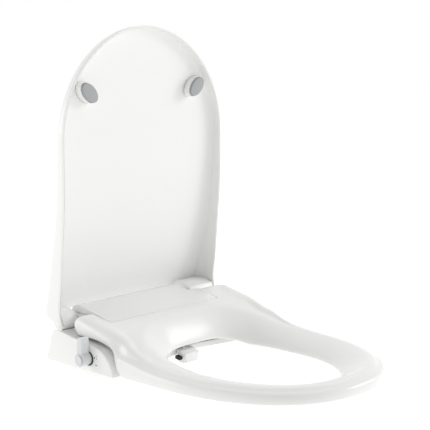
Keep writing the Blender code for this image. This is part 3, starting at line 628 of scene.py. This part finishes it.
@dataclass
class Lid:
    """The dished lid with its hinge lugs, its two bumper posts and their pads."""

    half_width: float = 180.0
    cap_z: float = 351.0
    cap_height: float = 179.0
    cap_power: float = 1.95
    wall: float = 2.6
    rim: list[Pair] = field(default_factory=lambda: [
        (53, 6), (68, 12.4), (83, 13.5), (115, 9), (148, 6.1), (180, 3.4), (219, -0.2), (277, -3.7),
        (530, -3.7)])
    back: list[Pair] = field(default_factory=lambda: [
        (53, 57), (74.8, 56.5), (88.5, 53), (116, 46), (156, 38), (209, 27), (274, 19.3),
        (338, 15.7), (530, 14.5)])
    lower: list[Pair] = field(default_factory=lambda: [
        (6, 53.5), (14, 53.4), (30, 57.5), (43.6, 62.7), (50, 65.5), (56, 67), (62, 67)])
    # Rows of the outer skin from the rim: inset, share of the depth, distance from the rim, crown
    rows: list[tuple[float, float, float, float]] = field(default_factory=lambda: [
        (0.5, 0.0, 0.0, 0.0), (0.1, 0.0, 0.5, 0.0), (0.0, 0.0, 1.2, 0.0), (0.0, 0.0, 2.1, 0.0),
        (0.6, 0.0, 2.4, 0.0), (0.6, 0.0, 3.0, 0.0), (0.0, 0.0, 3.3, 0.0), (0.1, 0.0, 4.3, 0.0),
        (0.3, 0.32, 0.0, 0.0), (0.8, 0.64, 0.0, 0.0), (1.3, 0.78, 0.0, 0.0), (2.4, 0.89, 0.0, 0.0),
        (4.8, 0.962, 0.0, 0.0), (8.0, 0.99, 0.0, 0.25), (12.5, 1.0, 0.0, 0.6), (24.0, 1.0, 0.0, 1.3),
        (45.0, 1.0, 0.0, 2.1), (75.0, 1.0, 0.0, 2.8), (110.0, 1.0, 0.0, 3.3), (150.0, 1.0, 0.0, 3.5),
        (180.0, 1.0, 0.0, 3.5)])
    bumper_x: float = 121.7
    bumper_z: float = 425.0
    bumper_half: Pair = (13.1, 20.6)
    pad_half: Pair = (11.5, 19.0)

    def row(self, inset: float, depth: float, behind: float, crown: float) -> list[Point]:
        """One U-shaped line of the outer skin, from lower left over the top to lower right.

        Args:
            inset: How far inside the widest outline it runs.
            depth: Share of the way from the rim to the back.
            behind: Distance behind that, for the lines next to the rim.
            crown: Extra height of the domed back.

        Returns:
            The line's points.
        """
        half_width = self.half_width - inset
        cap_height = max(0.0, self.cap_height - inset)

        def y_at(z: float) -> float:
            """How far back the line lies at a height."""
            rim = curve_height(self.rim, z)
            return rim + (curve_height(self.back, z) - rim) * depth + behind + crown

        foot = 60.0
        for _ in range(6):
            foot = curve_height(self.lower, y_at(foot))
        half = []
        for part in (0, 0.02, 0.045, 0.08, 0.12, 0.17, 0.23, 0.3, 0.38, 0.47, 0.57, 0.68, 0.79, 0.9, 1.0):
            z = foot + (self.cap_z - foot) * part
            half.append((half_width, y_at(z), z))
        count = 22
        for k in range(1, count + 1):
            angle = math.pi / 2 * k / count
            z = self.cap_z + cap_height * math.sin(angle) ** (2 / self.cap_power)
            x = half_width * max(0.0, math.cos(angle)) ** (2 / self.cap_power)
            half.append((0.0 if k == count else x, y_at(z), z))
        return [(-x, y, z) for x, y, z in half[:-1]] + list(reversed(half))

    def lug(self, name: str, x0: float, x1: float, hinge: HingeLine) -> Piece:
        """One of the lid's hinge lugs: a disc about the hinge line and the web up into the lid."""
        centre = [(hinge.y + 12.3 * math.cos(math.radians(a)), hinge.z + 12.3 * math.sin(math.radians(a)))
                  for a in range(180, 331, 6)]
        web = [(38, 59), (50, 65), (53.5, 71), (50, 77), (40, 78.5), (28, 76), (14, 71)]
        outline = centre + web
        piece = Workshop.sheet(name, [[(x, y, z) for y, z in outline] for x in (x0, x1)], wrap=True)
        piece.pick()
        bpy.ops.object.mode_set(mode='EDIT')
        bpy.ops.mesh.select_mode(type='EDGE')
        bpy.ops.mesh.select_all(action='DESELECT')
        bpy.ops.mesh.select_non_manifold()
        bpy.ops.mesh.edge_face_add()
        bpy.ops.mesh.select_all(action='SELECT')
        bpy.ops.mesh.normals_make_consistent(inside=False)
        bpy.ops.object.mode_set(mode='OBJECT')
        return piece.bevel(1.2, 3, 40.0)

    def build(self, hinge: HingeLine, panel: Panel) -> None:
        """Model and finish the lid's pieces."""
        skin = Workshop.sheet("lid_dish", [self.row(*spec) for spec in self.rows])
        outmost = max(skin.obj.data.polygons, key=lambda f: f.center.y)
        if outmost.normal.y < 0:
            skin.edit(bpy.ops.mesh.flip_normals)
        skin.modifier('SOLIDIFY', thickness=self.wall * MM, offset=-1.0, use_even_offset=True)
        skin.modifier('SUBSURF', levels=1, render_levels=1)
        for name, x0, x1 in (("lug_left", -176.0, panel.left - 7.8),
                             ("lug_right", panel.right + 9.0, 176.0)):
            skin.boolean(self.lug(name, x0, x1, hinge), 'UNION')
        for x0, length in ((-172.0, 40.0), (panel.right, 64.0)):
            hole = Workshop.disc("hole", (x0, hinge.y, hinge.z), Vector((1, 0, 0)), length, hinge.bore)
            skin.boolean(hole, 'DIFFERENCE')
        skin.smooth(42.0).finish(Finishes.GLOSS_WHITE, "lid", ["lid_shell"])
        for side, sign in (("left", -1), ("right", 1)):
            self.build_bumper(side, sign)

    def oval(self, name: str, sign: int, half: Pair, y0: float, y1: float) -> Piece:
        """An oval bar along Y at a bumper's place, its long axis leaning with the lid's edge.

        Args:
            name: The piece's name.
            sign: -1 on the left, 1 on the right.
            half: Its half-width and half-length.
            y0: Where it starts.
            y1: Where it ends.

        Returns:
            The oval bar.
        """
        piece = Workshop.disc(name, (0.0, y0, 0.0), Vector((0, 1, 0)), y1 - y0, 1.0, 96)
        lean = Matrix.Rotation(-sign * math.radians(45.0), 4, 'Y').inverted()
        place = Matrix.Translation(Vector((sign * self.bumper_x, 0.0, self.bumper_z)) * MM)
        piece.obj.matrix_world = place @ lean @ Matrix.Diagonal((half[0], 1.0, half[1], 1.0))
        piece.pick()
        bpy.ops.object.transform_apply(location=True, rotation=True, scale=True)
        return piece

    def build_bumper(self, side: str, sign: int) -> None:
        """Model one oval post, hollow at its end, and the rubber pad pressed into it."""
        front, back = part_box(f"lid_post_{side}")
        low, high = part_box(f"lid_pad_{side}")
        post = self.oval(f"bumper_post_{side}", sign, self.bumper_half, front.y / MM, back.y / MM)
        hollow = self.oval("hollow", sign, (self.pad_half[0] + 0.4, self.pad_half[1] + 0.4),
                           low.y / MM, high.y / MM + 0.4)
        post.boolean(hollow, 'DIFFERENCE').bevel(0.4, 3, 40.0).smooth(40.0)
        post.finish(Finishes.GLOSS_WHITE, "lid", [f"lid_post_{side}"])
        pad = self.oval(f"bumper_pad_{side}", sign, self.pad_half, low.y / MM, high.y / MM)
        pad.bevel(0.7, 4, 40.0).smooth(40.0)
        pad.finish(Finishes.RUBBER_GREY, "lid", [f"lid_pad_{side}"])


@dataclass
class Lever:
    """The wash lever on the housing's side: hub, arm and pressed-in cap."""

    y: float = -68.0
    z: float = 21.0
    face_x: float = -210.0
    hub_radius: float = 10.4
    hub_length: float = 16.4
    arm_low_y: float = -4.8
    arm_high_y: float = 6.2
    arm_depth: float = 15.4
    top_z: float = 55.0
    cap_radius: float = 7.4
    cap_length: float = 2.7
    cap_proud: float = 3.0

    def build(self) -> None:
        """Model and finish the lever's pieces."""
        axis = Vector((1, 0, 0))
        lever = Workshop.disc("lever_body", (self.face_x, self.y, self.z), axis, self.hub_length,
                              self.hub_radius, 72)
        arm = Workshop.block("arm", (self.face_x, self.y + self.arm_low_y, self.z),
                             (self.face_x + self.arm_depth, self.y + self.arm_high_y, self.top_z))
        arm.edit(lambda: bpy.ops.transform.resize(value=(0.9, 0.94, 1.0), center_override=(
            (self.face_x + self.arm_depth) * MM, (self.y + self.arm_low_y) * MM, self.top_z * MM)),
            lambda centre, normal: normal.z > 0.9)
        lever.boolean(arm, 'UNION').bevel(1.0, 4, 35.0).smooth(40.0)
        lever.finish(Finishes.LEVER_GREY, "lever", ["lever"])
        cap = Workshop.disc("lever_hub_cap", (self.face_x - self.cap_proud, self.y, self.z), axis,
                            self.cap_length, self.cap_radius, 72)
        cap.edit(lambda: (bpy.ops.mesh.inset(thickness=1.4 * MM),
                          bpy.ops.transform.translate(value=(0.5 * MM, 0, 0))),
                 lambda centre, normal: normal.x < -0.9)
        cap.bevel(0.5, 3, 35.0).smooth(40.0)
        cap.finish(Finishes.LEVER_GREY, "lever", ["lever_cap"])


@dataclass
class Marks:
    """Generic printed marks beside the lever: three dots and a bar."""

    face_x: float = -192.0
    proud: float = 0.12
    # Place from the lever's centre along Y and Z, and radius
    dots: tuple[Point, ...] = ((-15.0, 3.0, 1.2), (-19.0, 6.0, 0.8), (-19.5, 2.0, 0.8))
    bar_y: Pair = (21.0, 16.0)
    bar_z: Pair = (9.0, 7.8)

    def build(self, lever: Lever) -> None:
        """Print the marks on the housing's side."""
        for k, (dy, dz, radius) in enumerate(self.dots):
            dot = Workshop.disc(f"mark_dot_{k + 1}", (self.face_x - self.proud, lever.y + dy, lever.z + dz),
                                Vector((1, 0, 0)), 2 * self.proud, radius, 24)
            dot.bevel(0.05, 1, 40.0).smooth(40.0)
            dot.finish(Finishes.INK, "housing")
        low = (self.face_x - self.proud, lever.y - self.bar_y[0], lever.z - self.bar_z[0])
        high = (self.face_x + self.proud, lever.y - self.bar_y[1], lever.z - self.bar_z[1])
        bar = Workshop.block("mark_bar", low, high)
        bar.bevel(0.05, 1, 40.0).finish(Finishes.INK, "housing")


@dataclass
class Refined:
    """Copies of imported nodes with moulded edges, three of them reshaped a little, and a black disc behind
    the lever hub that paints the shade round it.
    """

    # New name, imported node, body, finish, edge radius
    pieces: list[tuple[str, str, str, Finishes, float]] = field(default_factory=lambda: [
        ("fixed_cover", "top_cover", "housing", Finishes.GLOSS_WHITE, 0.7),
        ("side_cap_left", "left_side_cover", "housing", Finishes.GLOSS_WHITE, 0.8),
        ("side_cap_right", "right_side_cover", "housing", Finishes.GLOSS_WHITE, 0.8),
        ("base_tray", "housing_base", "housing", Finishes.GLOSS_WHITE, 0.5),
        ("nozzle_guard", "spray_guard", "housing", Finishes.GLOSS_WHITE, 0.4),
        ("nozzle_gate", "spray_gate", "gate", Finishes.SATIN_WHITE, 0.3),
        ("side_button", "release_button", "button", Finishes.SATIN_WHITE, 0.6),
        ("stop_block", "guard_block", "housing", Finishes.RUBBER_BLACK, 0.4),
    ])
    heel: float = 4.6
    heel_start_y: float = -12.0
    heel_run: float = 16.0
    heel_least_z: float = 30.0
    # Place and size of the black disc that paints the shade round the lever's hub
    shadow_disc_drop: Pair = (1.3, 0.4)
    shadow_disc_length: float = 1.3
    shadow_disc_margin: float = 0.9
    block_keep: float = 0.55
    block_drop: float = 1.5

    def build(self, lever: Lever) -> None:
        """Copy each node, round its edges and finish it, and put a black disc behind the lever as painted
        shade round its hub.

        Args:
            lever: The lever, whose hub the black painted-shade disc sits behind.
        """
        for name, node, body, finish, radius in self.pieces:
            piece = Piece.copy_of(node, name).flatten()
            if name.startswith("side_cap"):
                self.lift_heel(piece)
            elif name == "stop_block":
                self.trim_block(piece)
            piece.bevel(radius, 3, 32.0).smooth(40.0).finish(finish, body, [node])
        # A black disc, a little wider than the hub, sits behind the lever: painted shade round the hub, not
        # a real seal
        place = (lever.face_x + lever.hub_length, lever.y - self.shadow_disc_drop[0], lever.z - self.shadow_disc_drop[1])
        shadow_disc = Workshop.disc("lever_seal", place, Vector((1, 0, 0)), self.shadow_disc_length,
                             lever.hub_radius + self.shadow_disc_margin, 72)
        shadow_disc.bevel(0.3, 2, 40.0).smooth(40.0).finish(Finishes.RUBBER_BLACK, "housing")

    def lift_heel(self, piece: Piece) -> None:
        """Raise the rear top corner of a side cap so that it closes on the lid.

        Args:
            piece: The side cap.
        """
        start, run, least = self.heel_start_y * MM, self.heel_run * MM, self.heel_least_z * MM
        for vertex in piece.obj.data.vertices:
            if vertex.co.y > start and vertex.co.z > least:
                vertex.co.z += self.heel * MM * min(1.0, (vertex.co.y - start) / run)

    def trim_block(self, piece: Piece) -> None:
        """Shorten the stop block towards its right end and set it lower.

        Args:
            piece: The stop block.
        """
        right = max(vertex.co.x for vertex in piece.obj.data.vertices)
        for vertex in piece.obj.data.vertices:
            vertex.co.x = right + (vertex.co.x - right) * self.block_keep
            vertex.co.z -= self.block_drop * MM


@dataclass
class PlainNodes:
    """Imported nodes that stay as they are, with the finish of their slot."""

    by_slot: dict[str, Finishes] = field(default_factory=lambda: {
        look.value.name: look for look in Finishes})

    def build(self) -> None:
        """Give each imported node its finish."""
        for part in frame["record"]["subparts"]:
            look = self.by_slot[part["material_slot"]].value
            node = frame["nodes"][part["node"]]
            node.data.materials.clear()
            node.data.materials.append(look.material())
            LOG.info("%s: packed node in %s", part["node"], look.name)


@dataclass
class Studio:
    """Pale floor, soft lights and the camera."""

    floor_z: float = -0.0130
    camera_at: Point = (-1.4199, -1.4859, 0.5485)
    tilt: float = 80.78
    turn: float = -46.92
    lens: float = 103.86
    bright: float = 1.0
    dim: float = 0.5
    floor_grey: float = 0.5
    floor_glow: float = 0.72
    aim: Point = (0.0, -0.15, 0.15)
    lamps: list[tuple[str, Point, float, float]] = field(default_factory=lambda: [
        ("key", (2.2, -1.6, 1.3), 1.2, 22.0), ("side", (-1.7, 1.7, 0.9), 1.2, 12.0)])

    def surround(self) -> None:
        """Set surroundings that are white behind the object and dimmer on the near side."""
        world = bpy.data.worlds.new("studio")
        world.use_nodes = True
        tree = world.node_tree
        place = tree.nodes.new("ShaderNodeTexCoord")
        toward = tree.nodes.new("ShaderNodeVectorMath")
        toward.operation = 'DOT_PRODUCT'
        toward.inputs[1].default_value = (math.sin(math.radians(-self.turn)),
                                          math.cos(math.radians(-self.turn)), 0.0)
        level = tree.nodes.new("ShaderNodeMapRange")
        level.interpolation_type = 'SMOOTHSTEP'
        level.inputs["From Min"].default_value = -0.9
        level.inputs["From Max"].default_value = 0.75
        level.inputs["To Min"].default_value = self.dim
        level.inputs["To Max"].default_value = self.bright
        tree.links.new(place.outputs["Generated"], toward.inputs[0])
        tree.links.new(toward.outputs["Value"], level.inputs["Value"])
        tree.links.new(level.outputs["Result"], tree.nodes["Background"].inputs["Strength"])
        tree.nodes["Background"].inputs["Color"].default_value = (1.0, 1.0, 1.0, 1.0)
        bpy.context.scene.world = world

    def light(self, name: str, at: Point, aim: Point, size: float, power: float) -> None:
        """Add one soft square light that faces a point."""
        data = bpy.data.lights.new(name, 'AREA')
        data.energy = power
        data.size = size
        lamp = bpy.data.objects.new(name, data)
        lamp.location = at
        lamp.rotation_euler = (Vector(aim) - Vector(at)).to_track_quat('-Z', 'Y').to_euler()
        bpy.context.scene.collection.objects.link(lamp)

    def build(self) -> None:
        """Set the floor, the lights, the surroundings and the camera."""
        bpy.ops.object.select_all(action='DESELECT')
        bpy.ops.mesh.primitive_plane_add(size=12.0, location=(0, 0, self.floor_z))
        floor = bpy.context.object
        floor.name = "floor"
        shader = Shader("pale_floor")
        shader.surface_input("Base Color", (*[self.floor_grey] * 3, 1.0))
        shader.surface_input("Roughness", 0.9)
        shader.surface_input("Specular IOR Level", 0.1)
        shader.surface_input("Emission Color", (1.0, 1.0, 1.0, 1.0))
        shader.surface_input("Emission Strength", self.floor_glow)
        floor.data.materials.append(shader.material)
        self.surround()
        for name, at, size, power in self.lamps:
            self.light(name, at, self.aim, size, power)
        camera_data = bpy.data.cameras.new("camera")
        camera_data.lens = self.lens
        camera_data.sensor_width = 36.0
        camera = bpy.data.objects.new("camera", camera_data)
        camera.location = self.camera_at
        camera.rotation_euler = (math.radians(self.tilt), 0.0, math.radians(self.turn))
        bpy.context.scene.collection.objects.link(camera)
        bpy.context.scene.camera = camera
        bpy.context.scene.view_settings.view_transform = 'Standard'


def main() -> None:
    """Build every sub-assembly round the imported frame."""
    logging.basicConfig(level=logging.INFO, format="%(message)s")
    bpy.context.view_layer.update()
    hinge, panel, lever = HingeLine(), Panel(), Lever()
    Studio().build()
    PlainNodes().build()
    Refined().build(lever)
    Seat().build(hinge, panel)
    Lid().build(hinge, panel)
    lever.build()
    Marks().build(lever)


if __name__ == "__main__":
    main()
